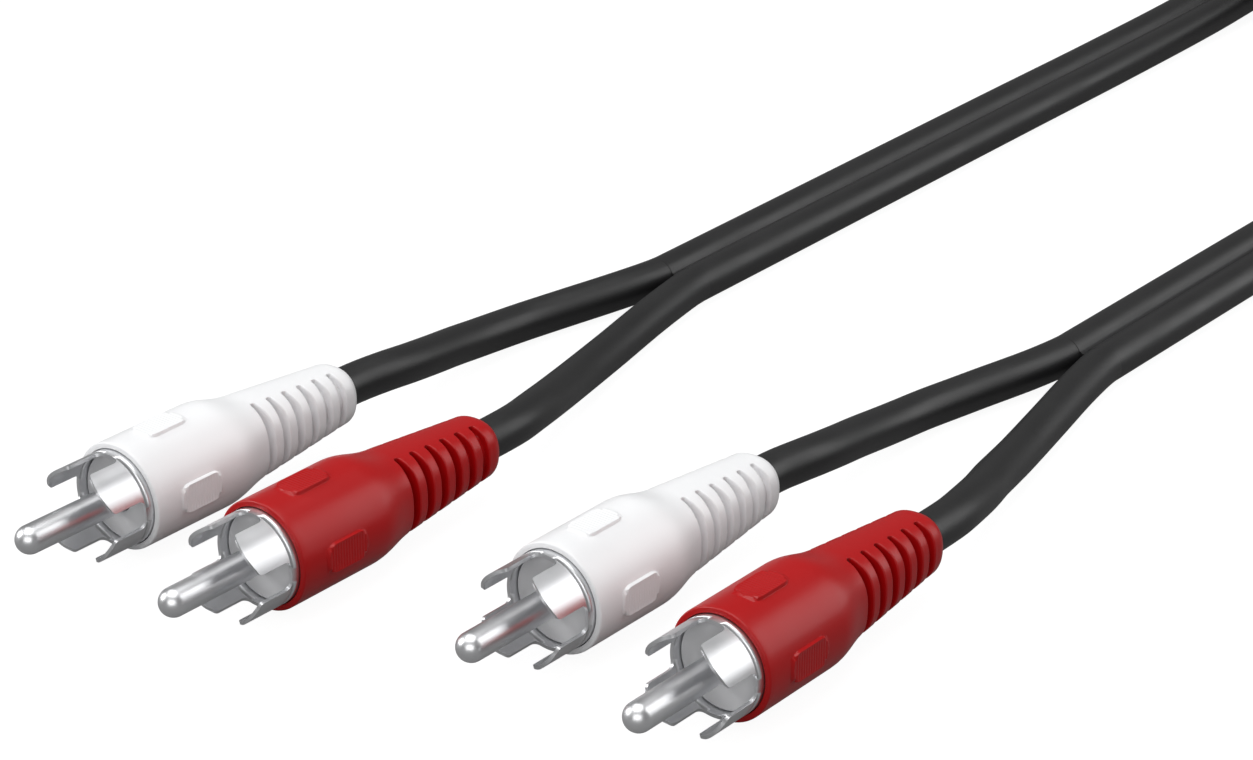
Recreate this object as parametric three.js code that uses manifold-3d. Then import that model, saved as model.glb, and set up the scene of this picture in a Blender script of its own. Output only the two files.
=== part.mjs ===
// Stereo audio cable: a flat twin lead that parts into two single leads at each end, with a white
// and a red phono plug at each end. Millimetres, +Z up. The plugs lie on the table side by side
// with their pins towards -Y, and the part of the lead between the two ends is wound into a coil.
//
// Each plug is built about its own axis, along Y, with y = 0 at the front rim of its overmould:
// what stands out in front of the rim is at negative y, the strain relief is at positive y.

import * as THREE from 'three';
import { mergeVertices } from 'three/addons/utils/BufferGeometryUtils.js';
import Module from 'manifold-3d';

const wasm = await Module();
wasm.setup();

// Contact pin, the plug's middle contact.
const pinRadius = 1.6;
const pinReach = 14.15; // from the rim to the tip
const pinTail = 6.6; // full thickness behind the rim
const cupRadius = 1.3;
const cupLength = 2.4;

// Ground shell, one piece of thin sheet: a ring with four petals and a solder lug at the back.
const shellRadius = 5.38;
const sheet = 0.38;
const petalReach = 6.2; // from the rim to the petals' ends
const ringReach = 1.05; // from the rim to the roots of the slots
const petalSlotWidth = 3.3;
const petalCorner = 1.1;
const slotRootCorner = 0.7;
const shellDepth = 5; // behind the rim
const lugWidth = 2.4;
const lugLength = 4;
const lugDrop = 2.45; // from the plug's axis down to the lug

// Insulator between the pin and the shell.
const insulatorRecess = 0.05;
const bushLength = 1.6;

// Overmould: barrel, shoulder and slotted strain relief in one piece.
const barrelRadius = 6.13;
const barrelLength = 12.3;
const rimEdge = 0.22;
const shoulderLength = 7.1;
const bootFrontRadius = 4.96;
const bootTaper = 0.092; // radius lost for each millimetre of length
const bodyLength = 34;
const bootEndRound = 1.7;
const chamberRadius = 3.6;
const chamberEnd = 15;

// Strain relief slots on the left and right sides.
const bootSlotCount = 6;
const bootSlotPitch = 2.46;
const firstBootSlot = 18.7;
const bootSlotWidth = 1.15;
const bootSlotFloor = 3;
const bootSpineAngle = 26; // degrees from the middle of the spine to where the slots start
const bootSpineTurn = 6.5; // degrees from the top to the middle of the spine

// Four grip pads around the barrel. The plug lies on the lowest one.
const padLength = 6;
const padWidth = 3.5;
const padCorner = 1;
const padStart = 3.4;
const padHeight = 0.17;

// Lead.
const leadRadius = 2.36;
const strandPitch = 5; // between the two strands of the twin lead
const webThickness = 1.82;
const leadEntry = 24; // where the jacket ends inside the strain relief
const coreRadius = 0.6;
const braidRadius = 0.35;
const braidDrop = 1.78;

// Coil of the lead between the two ends.
const coilRadius = 56.5; // to the middle of the turns
const coilLayers = 3;
const layerPitch = 4.8;
const tieThickness = 1;
const tieWidth = 12;

// Clearances.
const fitGap = 0.1;
const restGap = 0.3;
const curveGap = 0.8; // beside a piece that curves away

// Sides of the turned pieces, which nest in each other.
const aroundPlug = 24;

// Places of the plugs: x of each axis, and y of each pair's rims.
const padTop = barrelRadius + padHeight;
const axisHeight = padTop;
const rimA = -15.95;
const rimB = -3.9;
const plugX = { whiteA: -35.8, redA: -14.5, whiteB: 14.7, redB: 35.8 };

// Twin lead: x of its straight runs, y where the strands join, and the coil's centre.
const splitAX = -30.95;
const runBX = 20.95;
const joinA = 73.2;
const joinB = 85.2;
const coilTouchX = -32.3; // where the run from end A meets the coil's left side
const coilX = coilTouchX + coilRadius;
const coilY = 262.7;
const coilBase = tieThickness + restGap;
const coilHeight = coilLayers * layerPitch;
const coilHalfWidth = strandPitch / 2 + leadRadius + 0.1;

const white = plastic(0xe4e4e6, 0.42);
const red = plastic(0xb01c20, 0.38);
const insulatorGrey = plastic(0xa3a3a7, 0.6);
const jacket = plastic(0x1a1a1b, 0.45);
const strap = plastic(0x202022, 0.85);
const nickel = metal(0xc9cacc, 0.24);
const copper = metal(0xb87848, 0.4);
const dielectric = plastic(0xdedbd2, 0.5);

function plastic(color, roughness) {
  return new THREE.MeshStandardMaterial({ color, roughness, metalness: 0 });
}

function metal(color, roughness) {
  return new THREE.MeshStandardMaterial({ color, roughness, metalness: 1 });
}

// Keeps only positions, merges shared vertices and turns all faces outwards.
function closed(geometry) {
  const bare = geometry.clone();
  bare.deleteAttribute('normal');
  bare.deleteAttribute('uv');
  const merged = mergeVertices(bare, 1e-4);
  const index = merged.index.array;
  const kept = [];
  for (let i = 0; i < index.length; i += 3) {
    const [a, b, c] = [index[i], index[i + 1], index[i + 2]];
    if (a !== b && b !== c && a !== c) kept.push(a, b, c);
  }
  merged.setIndex(kept);
  if (volume(merged) < 0) {
    const turned = [];
    for (let i = 0; i < kept.length; i += 3) turned.push(kept[i], kept[i + 2], kept[i + 1]);
    merged.setIndex(turned);
  }
  return merged;
}

function volume(geometry) {
  const index = geometry.index.array;
  const [a, b, c] = [new THREE.Vector3(), new THREE.Vector3(), new THREE.Vector3()];
  let sum = 0;
  for (let i = 0; i < index.length; i += 3) {
    a.fromBufferAttribute(geometry.attributes.position, index[i]);
    b.fromBufferAttribute(geometry.attributes.position, index[i + 1]);
    c.fromBufferAttribute(geometry.attributes.position, index[i + 2]);
    sum += a.dot(b.cross(c)) / 6;
  }
  return sum;
}

function solid(geometry) {
  const part = closed(geometry);
  return new wasm.Manifold(new wasm.Mesh({
    numProp: 3,
    vertProperties: new Float32Array(part.attributes.position.array),
    triVerts: new Uint32Array(part.index.array),
  }));
}

function surface(body) {
  const { vertProperties, triVerts, numProp } = body.getMesh();
  const geometry = new THREE.BufferGeometry();
  const position = new Float32Array((vertProperties.length / numProp) * 3);
  for (let i = 0; i * numProp < vertProperties.length; i++) {
    for (let k = 0; k < 3; k++) position[i * 3 + k] = vertProperties[i * numProp + k];
  }
  geometry.setAttribute('position', new THREE.BufferAttribute(position, 3));
  geometry.setIndex([...triVerts]);
  return geometry;
}

function named(name, geometry, material) {
  const mesh = new THREE.Mesh(geometry, material.clone());
  mesh.name = name;
  return mesh;
}

// Turns an outline of [radius, y] points about the plug's axis.
function turned(outline, sides, ring = true) {
  const points = outline.map(([radius, y]) => new THREE.Vector2(radius, y));
  if (ring) points.push(points[0].clone());
  return new THREE.LatheGeometry(points, sides);
}

function arc(x, y, radiusX, radiusY, fromDegrees, toDegrees, steps) {
  const [start, end] = [fromDegrees, toDegrees].map(THREE.MathUtils.degToRad);
  const curve = new THREE.EllipseCurve(x, y, radiusX, radiusY, start, end, end < start);
  return curve.getPoints(steps).map((point) => [point.x, point.y]);
}

function pinGeometry() {
  const tip = arc(0, pinRadius - pinReach, pinRadius, pinRadius, -90, 0, 4);
  tip[0][0] = 0;
  return closed(turned([
    ...tip, [pinRadius, pinTail], [cupRadius, pinTail],
    [cupRadius, pinTail + cupLength], [0, pinTail + cupLength],
  ], 16, false));
}

// One gap between two petals, as an outline across the shell's wall at the top of the plug.
function petalSlotShape() {
  const half = petalSlotWidth / 2;
  const [end, root] = [-petalReach, -ringReach];
  const shape = new THREE.Shape();
  shape.moveTo(-half - petalCorner, end - 1);
  shape.absarc(-half - petalCorner, end + petalCorner, petalCorner, -Math.PI / 2, 0, false);
  shape.absarc(-half + slotRootCorner, root - slotRootCorner, slotRootCorner, Math.PI, Math.PI / 2, true);
  shape.absarc(half - slotRootCorner, root - slotRootCorner, slotRootCorner, Math.PI / 2, 0, true);
  shape.absarc(half + petalCorner, end + petalCorner, petalCorner, Math.PI, 1.5 * Math.PI, false);
  shape.lineTo(half + petalCorner, end - 1);
  return shape;
}

function shellGeometry() {
  const inner = shellRadius - sheet;
  const web = shellDepth - sheet;
  const holeRadius = lugDrop - fitGap / 2;
  let shell = solid(turned([
    [shellRadius, -petalReach], [shellRadius, shellDepth], [holeRadius, shellDepth],
    [holeRadius, web], [inner, web], [inner, -petalReach],
  ], aroundPlug));
  const wall = shellRadius + 2;
  for (let side = 0; side < 4; side++) {
    const settings = { depth: wall, bevelEnabled: false, curveSegments: 2 };
    const cut = new THREE.ExtrudeGeometry(petalSlotShape(), settings);
    cut.rotateY((side * Math.PI) / 2);
    shell = shell.subtract(solid(cut));
  }
  const lug = new THREE.BoxGeometry(lugWidth, lugLength + sheet / 2, sheet);
  lug.translate(0, shellDepth + lugLength / 2 - sheet / 4, -lugDrop - sheet / 2);
  return surface(shell.add(solid(lug)));
}

function insulatorGeometry() {
  const hole = pinRadius + fitGap;
  const outer = shellRadius - sheet - fitGap;
  const bush = lugDrop - fitGap * 1.5;
  const back = shellDepth - sheet - fitGap;
  return closed(turned([
    [hole, insulatorRecess], [outer, insulatorRecess], [outer, back],
    [bush, back], [bush, back + bushLength], [hole, back + bushLength],
  ], aroundPlug));
}

function bodyOutline() {
  const bore = shellRadius + fitGap;
  const cordBore = leadRadius + fitGap;
  const bootFront = barrelLength + shoulderLength;
  const roundStart = bodyLength - bootEndRound;
  const bootEndRadius = bootFrontRadius - bootTaper * (roundStart - bootFront);
  const shoulder = new THREE.CubicBezierCurve(
    new THREE.Vector2(barrelRadius, barrelLength),
    new THREE.Vector2(barrelRadius, barrelLength + 0.36 * shoulderLength),
    new THREE.Vector2(bootFrontRadius + 0.14, barrelLength + 0.58 * shoulderLength),
    new THREE.Vector2(bootFrontRadius, bootFront),
  ).getPoints(4).map((point) => [point.x, point.y]);
  return [
    [bore, 0], [barrelRadius - rimEdge, 0], [barrelRadius, rimEdge], ...shoulder,
    ...arc(cordBore, roundStart, bootEndRadius - cordBore, bootEndRound, 0, 90, 3),
    [cordBore, chamberEnd], [chamberRadius, chamberEnd],
    [chamberRadius, shellDepth + fitGap], [bore, shellDepth + fitGap],
  ];
}

// A sector of a ring, seen along the plug, that cuts one slot into one side of the boot.
function bootSlotCut(side, station) {
  const reach = THREE.MathUtils.degToRad(90 - bootSpineAngle);
  const middle = (side > 0 ? 0 : Math.PI) + THREE.MathUtils.degToRad(bootSpineTurn);
  const shape = new THREE.Shape();
  shape.absarc(0, 0, barrelRadius, middle - reach, middle + reach, false);
  shape.absarc(0, 0, bootSlotFloor, middle + reach, middle - reach, true);
  const settings = { depth: bootSlotWidth, bevelEnabled: false, curveSegments: 2 };
  const cut = new THREE.ExtrudeGeometry(shape, settings);
  cut.rotateX(Math.PI / 2);
  cut.translate(0, station + bootSlotWidth / 2, 0);
  return solid(cut);
}

function roundedRectangle(width, length, corner) {
  const [x, y] = [width / 2, length / 2];
  const shape = new THREE.Shape();
  shape.absarc(x - corner, y - corner, corner, 0, Math.PI / 2, false);
  shape.absarc(-x + corner, y - corner, corner, Math.PI / 2, Math.PI, false);
  shape.absarc(-x + corner, -y + corner, corner, Math.PI, 1.5 * Math.PI, false);
  shape.absarc(x - corner, -y + corner, corner, 1.5 * Math.PI, 2 * Math.PI, false);
  return shape;
}

function gripPad(side) {
  const sunk = 0.45;
  const pad = new THREE.ExtrudeGeometry(roundedRectangle(padWidth, padLength, padCorner),
    { depth: padHeight + sunk, bevelEnabled: false, curveSegments: 2 });
  pad.translate(0, padStart + padLength / 2, barrelRadius - sunk);
  pad.rotateY((side * Math.PI) / 2);
  return solid(pad);
}

function bodyGeometry() {
  let body = solid(turned(bodyOutline(), aroundPlug));
  for (let side = 0; side < 4; side++) body = body.add(gripPad(side));
  for (let slot = 0; slot < bootSlotCount; slot++) {
    const station = firstBootSlot + slot * bootSlotPitch;
    body = body.subtract(bootSlotCut(1, station)).subtract(bootSlotCut(-1, station));
  }
  return surface(body);
}

function wire(radius, start, end, drop) {
  const rod = new THREE.CylinderGeometry(radius, radius, end - start, 8);
  rod.translate(0, (start + end) / 2, -drop);
  return closed(rod);
}

const plugParts = {
  body: bodyGeometry(),
  shell: shellGeometry(),
  insulator: insulatorGeometry(),
  pin: pinGeometry(),
  core: wire(coreRadius, pinTail + cupLength + fitGap, leadEntry - fitGap, 0),
  braid: wire(braidRadius, shellDepth - sheet + bushLength + restGap, leadEntry - fitGap, braidDrop),
};

function plug(name, x, rim, colour) {
  const group = new THREE.Group();
  group.add(
    named(`${name}_overmould`, plugParts.body, colour),
    named(`${name}_ground_shell`, plugParts.shell, nickel),
    named(`${name}_insulator`, plugParts.insulator, insulatorGrey),
    named(`${name}_contact_pin`, plugParts.pin, nickel),
    named(`${name}_core_wire`, plugParts.core, dielectric),
    named(`${name}_braid_tail`, plugParts.braid, copper),
  );
  group.position.set(x, rim, axisHeight);
  return group;
}

function tube(section, points, steps, segments) {
  const places = points.map((point) => new THREE.Vector3(...point));
  const path = new THREE.CatmullRomCurve3(places, false, 'centripetal');
  const settings = { steps, extrudePath: path, bevelEnabled: false, curveSegments: segments };
  return closed(new THREE.ExtrudeGeometry(section, settings));
}

function roundSection() {
  const shape = new THREE.Shape();
  shape.absarc(0, 0, leadRadius, 0, 2 * Math.PI, false);
  return shape;
}

// Two strands side by side, joined by a web.
function twinSection() {
  const half = strandPitch / 2;
  const neck = Math.asin(webThickness / 2 / leadRadius);
  const shape = new THREE.Shape();
  shape.absarc(0, half, leadRadius, -Math.PI / 2 + neck, 1.5 * Math.PI - neck, false);
  shape.absarc(0, -half, leadRadius, Math.PI / 2 + neck, 2.5 * Math.PI - neck, false);
  return shape;
}

// The single leads, each from inside its strain relief, down to the table and to the joined run.
const floorZ = leadRadius + 0.05;
const strandA = [splitAX - strandPitch / 2, splitAX + strandPitch / 2];
const strandB = [runBX - strandPitch / 2, runBX + strandPitch / 2];

// Inside its strain relief a lead runs straight along the plug's axis.
function straightOut(x, rim) {
  const end = rim + bodyLength;
  return [[x, rim + leadEntry, axisHeight], [x, end - 5, axisHeight], [x, end + 2.5, axisHeight]];
}

const routes = {
  whiteA: [
    ...straightOut(plugX.whiteA, rimA), [-35.6, 25.2, 6.1], [-35.9, 29.7, 5.45], [-36.6, 34.7, 4.6],
    [-37.3, 39.2, 3.85], [-37.75, 43.7, 3.15], [-37.8, 47.7, 2.75], [-37.55, 51.7, 2.5],
    [-36.9, 55.7, floorZ], [-36, 60, floorZ], [-35.2, 63.7, floorZ], [-34.4, 67.7, floorZ],
    [strandA[0] - 0.15, joinA - curveGap, floorZ],
  ],
  redA: [
    ...straightOut(plugX.redA, rimA), [-14.95, 24.7, 6.1], [-16.1, 28.7, 5.65], [-17.8, 33.5, 4.85],
    [-19.8, 38.7, 3.9], [-21.6, 43.7, 3.15], [-23, 48.4, 2.75], [-24.2, 52.8, 2.5],
    [-25.4, 57.7, floorZ], [-26.4, 62.2, floorZ], [-27.3, 66.7, floorZ],
    [strandA[1] + 0.15, joinA - curveGap, floorZ],
  ],
  whiteB: [
    ...straightOut(plugX.whiteB, rimB), [15.05, 36.7, 6.1], [15.2, 39.9, 5.8], [14.9, 44.2, 5.1],
    [14.4, 48.7, 4.3], [14.05, 53.7, 3.45], [13.95, 57.9, 2.9], [14.2, 62.2, 2.6],
    [15.2, 68.4, floorZ], [15.95, 72, floorZ], [16.8, 75.8, floorZ], [17.6, 79.7, floorZ],
    [strandB[0] - 0.15, joinB - curveGap, floorZ],
  ],
  redB: [
    ...straightOut(plugX.redB, rimB), [35.5, 36.5, 6.1], [34.7, 40.3, 5.7], [33.3, 45.2, 4.9],
    [31.9, 49.2, 4.2], [30.4, 54.2, 3.4], [29.3, 58.2, 2.9], [28.3, 62, 2.6],
    [26.3, 70.7, floorZ], [25.2, 75.7, floorZ], [24.3, 80.2, floorZ],
    [strandB[1] + 0.15, joinB - curveGap, floorZ],
  ],
};

// The twin lead from end A to the coil, which it joins on its left side.
const coilOuter = coilRadius + coilHalfWidth;
const coilInset = Math.sqrt(coilOuter ** 2 - (coilRadius - coilHalfWidth) ** 2);
const runAEnd = coilY - coilInset - 2 * restGap;
const runA = [
  [splitAX, joinA, floorZ], [-31.2, 100.7, floorZ], [-31.45, 125.7, floorZ], [-31.7, 150.7, floorZ],
  [-31.9, 175.7, floorZ], [-32.1, 200.7, floorZ + 0.3],
  [coilTouchX, runAEnd - 8, coilBase + leadRadius - 0.1], [coilTouchX, runAEnd, coilBase + leadRadius],
];

// The twin lead from end B to the coil's top layer, which it leaves at its near right.
const runB = [
  [runBX, joinB, floorZ], [runBX, 105.7, floorZ], [runBX, 125.7, floorZ], [runBX, 140.7, floorZ],
  [21, 153.7, 2.7], [23.1, 169.8, 4.1], [29.3, 184.9, 7], [34, 191.9, 8.9], [40.6, 199.2, 10.9],
];

function coilGeometry() {
  const [inner, outer] = [coilRadius - coilHalfWidth, coilOuter];
  const edge = 1.4;
  const ring = turned([
    [inner, coilBase + edge], [inner + edge, coilBase], [outer - edge, coilBase], [outer, coilBase + edge],
    [outer, coilBase + coilHeight - edge], [outer - edge, coilBase + coilHeight],
    [inner + edge, coilBase + coilHeight], [inner, coilBase + coilHeight - edge],
  ], 32);
  ring.rotateX(Math.PI / 2);
  return closed(ring);
}

// A strap around all the turns, at the coil's far side.
function tieGeometry() {
  const inside = { width: 2 * (coilHalfWidth + curveGap), height: coilHeight + 2 * restGap };
  const wall = 2 * tieThickness;
  const shape = roundedRectangle(inside.width + wall, inside.height + wall, 2.2);
  shape.holes.push(roundedRectangle(inside.width, inside.height, 1.2));
  const settings = { depth: tieWidth, bevelEnabled: false, curveSegments: 2 };
  const strapLoop = new THREE.ExtrudeGeometry(shape, settings);
  strapLoop.translate(0, 0, -tieWidth / 2);
  strapLoop.rotateY(Math.PI / 2);
  strapLoop.rotateX(Math.PI / 2);
  strapLoop.translate(0, coilRadius, (inside.height + wall) / 2);
  return closed(strapLoop);
}

const coil = named('twin_lead_coil', coilGeometry(), jacket);
coil.position.set(coilX, coilY, 0);
const tie = named('coil_tie', tieGeometry(), strap);
tie.position.set(coilX, coilY, 0);

const cable = new THREE.Group();
cable.name = 'stereo_audio_cable';
cable.add(
  plug('white_plug_a', plugX.whiteA, rimA, white),
  plug('red_plug_a', plugX.redA, rimA, red),
  plug('white_plug_b', plugX.whiteB, rimB, white),
  plug('red_plug_b', plugX.redB, rimB, red),
  named('white_lead_a', tube(roundSection(), routes.whiteA, 15, 4), jacket),
  named('red_lead_a', tube(roundSection(), routes.redA, 15, 4), jacket),
  named('white_lead_b', tube(roundSection(), routes.whiteB, 15, 4), jacket),
  named('red_lead_b', tube(roundSection(), routes.redB, 15, 4), jacket),
  named('twin_lead_a', tube(twinSection(), runA, 12, 4), jacket),
  named('twin_lead_b', tube(twinSection(), runB, 11, 4), jacket),
  coil,
  tie,
);

export default cable;
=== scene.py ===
"""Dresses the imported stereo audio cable: plugs, leads, coil, tie and a plain studio stage.

The cable is a flat twin lead that parts into two single leads at each end, with a white and a red
phono plug at each end. Its four plugs lie side by side with their pins towards -Y. Everything is
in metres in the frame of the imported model. A plug's pieces are made about the plug's own axis,
along Y with y = 0 at the front rim of its overmould, and are then placed on each plug.
"""

import math

import bmesh
import bpy
import numpy as np
from bpy.props import FloatProperty, FloatVectorProperty, IntProperty, PointerProperty
from mathutils import Matrix, Vector


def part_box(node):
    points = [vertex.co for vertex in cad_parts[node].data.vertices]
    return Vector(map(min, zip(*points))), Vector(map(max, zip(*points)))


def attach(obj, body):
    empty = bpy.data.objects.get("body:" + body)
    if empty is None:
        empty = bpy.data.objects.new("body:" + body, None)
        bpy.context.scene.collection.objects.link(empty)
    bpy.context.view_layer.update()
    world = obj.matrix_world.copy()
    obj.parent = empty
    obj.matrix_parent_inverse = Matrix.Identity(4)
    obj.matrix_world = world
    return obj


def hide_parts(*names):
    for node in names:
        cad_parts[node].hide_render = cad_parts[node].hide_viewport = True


bl_info = {
    "name": "Stereo Audio Cable",
    "version": (1, 0, 0),
    "blender": (4, 5, 0),
    "location": "3D View > Sidebar > Audio Cable",
    "description": "Makes the plugs, leads, coil and stage of a stereo audio cable",
    "category": "Object",
}

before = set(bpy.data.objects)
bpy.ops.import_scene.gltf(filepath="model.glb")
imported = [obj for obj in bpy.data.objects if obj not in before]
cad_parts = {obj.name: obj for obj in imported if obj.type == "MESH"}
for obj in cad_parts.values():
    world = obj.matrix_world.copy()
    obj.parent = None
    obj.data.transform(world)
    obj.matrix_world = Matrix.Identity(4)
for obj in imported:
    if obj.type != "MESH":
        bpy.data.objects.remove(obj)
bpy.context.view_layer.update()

MM = 0.001
BODY = "root"
PLUGS = ("white_plug_a", "red_plug_a", "white_plug_b", "red_plug_b")

# The photograph's view: where the camera stands, and its turn and tilt in degrees.
CAMERA_PLACE = (0.21332, -0.23641, 0.17454)
CAMERA_AZIMUTH = 39.14
CAMERA_ELEVATION = 25.21
CAMERA_LENS = 99.51

FLOOR_HALF = 6.0
FLOOR_COLOUR = (0.13, 0.13, 0.13, 1)
FLOOR_GLOW = 0.93

# Routes of the single leads, from inside each strain relief to the joined run.
SINGLE_ROUTES = {
    "white_lead_a": [
        (-0.0358, 0.00805, 0.0063), (-0.0358, 0.01305, 0.0063), (-0.0358, 0.02055, 0.0063),
        (-0.0356, 0.0252, 0.0061), (-0.0359, 0.0297, 0.00545), (-0.0366, 0.0347, 0.0046),
        (-0.0373, 0.0392, 0.00385), (-0.03775, 0.0437, 0.00315), (-0.0378, 0.0477, 0.00275),
        (-0.03755, 0.0517, 0.0025), (-0.0369, 0.0557, 0.00241), (-0.036, 0.06, 0.00241),
        (-0.0352, 0.0637, 0.00241), (-0.0344, 0.0677, 0.00241), (-0.0336, 0.0724, 0.00241),
    ],
    "red_lead_a": [
        (-0.0145, 0.00805, 0.0063), (-0.0145, 0.01305, 0.0063), (-0.0145, 0.02055, 0.0063),
        (-0.01495, 0.0247, 0.0061), (-0.0161, 0.0287, 0.00565), (-0.0178, 0.0335, 0.00485),
        (-0.0198, 0.0387, 0.0039), (-0.0216, 0.0437, 0.00315), (-0.023, 0.0484, 0.00275),
        (-0.0242, 0.0528, 0.0025), (-0.0254, 0.0577, 0.00241), (-0.0264, 0.0622, 0.00241),
        (-0.0273, 0.0667, 0.00241), (-0.0283, 0.0724, 0.00241),
    ],
    "white_lead_b": [
        (0.0147, 0.0201, 0.0063), (0.0147, 0.0251, 0.0063), (0.0147, 0.0326, 0.0063),
        (0.01505, 0.0367, 0.0061), (0.0152, 0.0399, 0.0058), (0.0149, 0.0442, 0.0051),
        (0.0144, 0.0487, 0.0043), (0.01405, 0.0537, 0.00345), (0.01395, 0.0579, 0.0029),
        (0.0142, 0.0622, 0.0026), (0.0152, 0.0684, 0.00241), (0.01595, 0.072, 0.00241),
        (0.0168, 0.0758, 0.00241), (0.0176, 0.0797, 0.00241), (0.0183, 0.0844, 0.00241),
    ],
    "red_lead_b": [
        (0.0358, 0.0201, 0.0063), (0.0358, 0.0251, 0.0063), (0.0358, 0.0326, 0.0063),
        (0.0355, 0.0365, 0.0061), (0.0347, 0.0403, 0.0057), (0.0333, 0.0452, 0.0049),
        (0.0319, 0.0492, 0.0042), (0.0304, 0.0542, 0.0034), (0.0293, 0.0582, 0.0029),
        (0.0283, 0.062, 0.0026), (0.0263, 0.0707, 0.00241), (0.0252, 0.0757, 0.00241),
        (0.0243, 0.0802, 0.00241), (0.0236, 0.0844, 0.00241),
    ],
}

# The twin lead on both sides of its coil: from end A to the coil, and from the coil to end B.
TWIN_TO_COIL = [
    (-0.03095, 0.0732, 0.00241), (-0.0312, 0.1007, 0.00241), (-0.03145, 0.1257, 0.00241),
    (-0.0317, 0.1507, 0.00241), (-0.0319, 0.1757, 0.00241), (-0.0321, 0.2007, 0.00271),
    (-0.0323, 0.2206, 0.00356), (-0.0323, 0.2286, 0.00366),
]
TWIN_FROM_COIL = [
    (0.0585, 0.2171, 0.01326), (0.0528, 0.2114, 0.0131), (0.0472, 0.2058, 0.0124),
    (0.0406, 0.1992, 0.0109), (0.034, 0.1919, 0.0089), (0.0293, 0.1849, 0.007),
    (0.0231, 0.1698, 0.0041), (0.021, 0.1537, 0.0027), (0.02095, 0.1407, 0.00241),
    (0.02095, 0.1257, 0.00241), (0.02095, 0.1057, 0.00241), (0.02095, 0.0852, 0.00241),
]


def length(name, value, description):
    return FloatProperty(name=name, description=description, default=value, unit="LENGTH", precision=5)


def number(name, value, description, **more):
    return FloatProperty(name=name, description=description, default=value, **more)


def colour(name, value, description):
    return FloatVectorProperty(
        name=name, description=description, default=value, subtype="COLOR", size=3, min=0, max=1
    )


class PlugSizes(bpy.types.PropertyGroup):
    """Sizes of one phono plug."""

    barrel_radius: length("Barrel radius", 0.00613, "Radius of the overmould's straight barrel")
    barrel_length: length("Barrel length", 0.0123, "Length of the straight barrel")
    rim_round: length("Rim round", 0.00022, "Rounding of the barrel's front edge")
    shoulder_length: length("Shoulder length", 0.0071, "Length over which the barrel narrows")
    boot_radius: length("Boot radius", 0.00496, "Radius of the strain relief behind the shoulder")
    body_length: length("Body length", 0.034, "Length of barrel, shoulder and strain relief")
    boot_end_round: length("Boot end round", 0.0017, "Length of the strain relief's rounded end")
    bore_radius: length("Bore radius", 0.00548, "Radius of the opening that takes the shell")
    bore_depth: length("Bore depth", 0.0051, "Depth of the opening that takes the shell")
    cord_bore: length("Cord bore", 0.00246, "Radius of the hole that grips the lead")
    chamber_radius: length("Chamber radius", 0.0036, "Radius of the hollow around the soldered wires")
    chamber_end: length("Chamber end", 0.015, "Depth at which the hollow closes on the lead")
    slot_count: IntProperty(
        name="Slots", description="Slots on each side of the strain relief", default=6, min=0
    )
    slot_first: length("First slot", 0.0187, "Distance from the rim to the first slot")
    slot_pitch: length("Slot pitch", 0.00246, "Distance from one slot to the next")
    slot_width: length("Slot width", 0.00115, "Width of a slot")
    slot_floor: length("Slot floor", 0.003, "Radius at the bottom of a slot")
    slot_reach: number("Slot reach", 64, "Degrees from a slot's middle to its end")
    spine_turn: number("Spine turn", 6.5, "Degrees from the top to the spine")
    slot_lip: length("Slot lip", 0.00016, "Rounding along a slot's edge")
    pad_start: length("Pad start", 0.0034, "Distance from the rim to the grip pads")
    pad_length: length("Pad length", 0.006, "Length of a grip pad")
    pad_width: length("Pad width", 0.0035, "Width of a grip pad")
    pad_corner: length("Pad corner", 0.0013, "Corner radius of a grip pad")
    pad_top: length("Pad top", 0.0063, "Distance from the plug's axis to the top of a pad")
    ridge_pitch: length("Ridge pitch", 0.0004, "Distance between the fine ridges on a pad")
    ridge_depth: length("Ridge depth", 0.00005, "Depth of the fine ridges on a pad")
    shell_radius: length("Shell radius", 0.00538, "Outer radius of the ground shell")
    sheet: length("Sheet", 0.00038, "Thickness of the shell's metal sheet")
    petal_reach: length("Petal reach", 0.006, "How far the petals stand out of the rim")
    ring_reach: length("Ring reach", 0.00105, "How far the unbroken ring stands out of the rim")
    petal_gap: length("Petal gap", 0.0033, "Width of the gap between two petals")
    petal_corner: length("Petal corner", 0.0005, "Corner radius at a petal's end")
    petal_arch: length("Petal arch", 0.0006, "How much further a petal reaches at its middle")
    gap_corner: length("Gap corner", 0.0007, "Corner radius at the bottom of a gap")
    shell_depth: length("Shell depth", 0.005, "How deep the shell sits behind the rim")
    web_hole: length("Web hole", 0.0024, "Radius of the hole in the shell's back wall")
    pin_radius: length("Pin radius", 0.0016, "Radius of the contact pin")
    pin_reach: length("Pin reach", 0.01415, "How far the pin stands out of the rim")
    pin_tail: length("Pin tail", 0.0066, "Length of the full pin behind the rim")
    cup_radius: length("Cup radius", 0.0013, "Radius of the pin's solder cup")
    cup_length: length("Cup length", 0.0024, "Length of the pin's solder cup")
    fit_gap: length("Fit gap", 0.0001, "Gap between pieces that fit into each other")


class LeadSizes(bpy.types.PropertyGroup):
    """Sizes of the lead and of its coil."""

    strand_radius: length("Strand radius", 0.00236, "Radius of one strand's jacket")
    strand_pitch: length("Strand pitch", 0.005, "Distance between the strands of the twin lead")
    crease_round: length("Crease round", 0.00052, "Rounding of the crease between the strands")
    ring_step: length("Ring step", 0.0014, "Distance between the rings of points along a lead")
    coil_radius: length("Coil radius", 0.0565, "Radius to the middle of the coil's turns")
    layer_pitch: length("Layer pitch", 0.0048, "Height of one layer of the coil")
    tie_thickness: length("Tie thickness", 0.001, "Thickness of the strap around the coil")
    tie_width: length("Tie width", 0.012, "Width of the strap around the coil")


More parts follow.
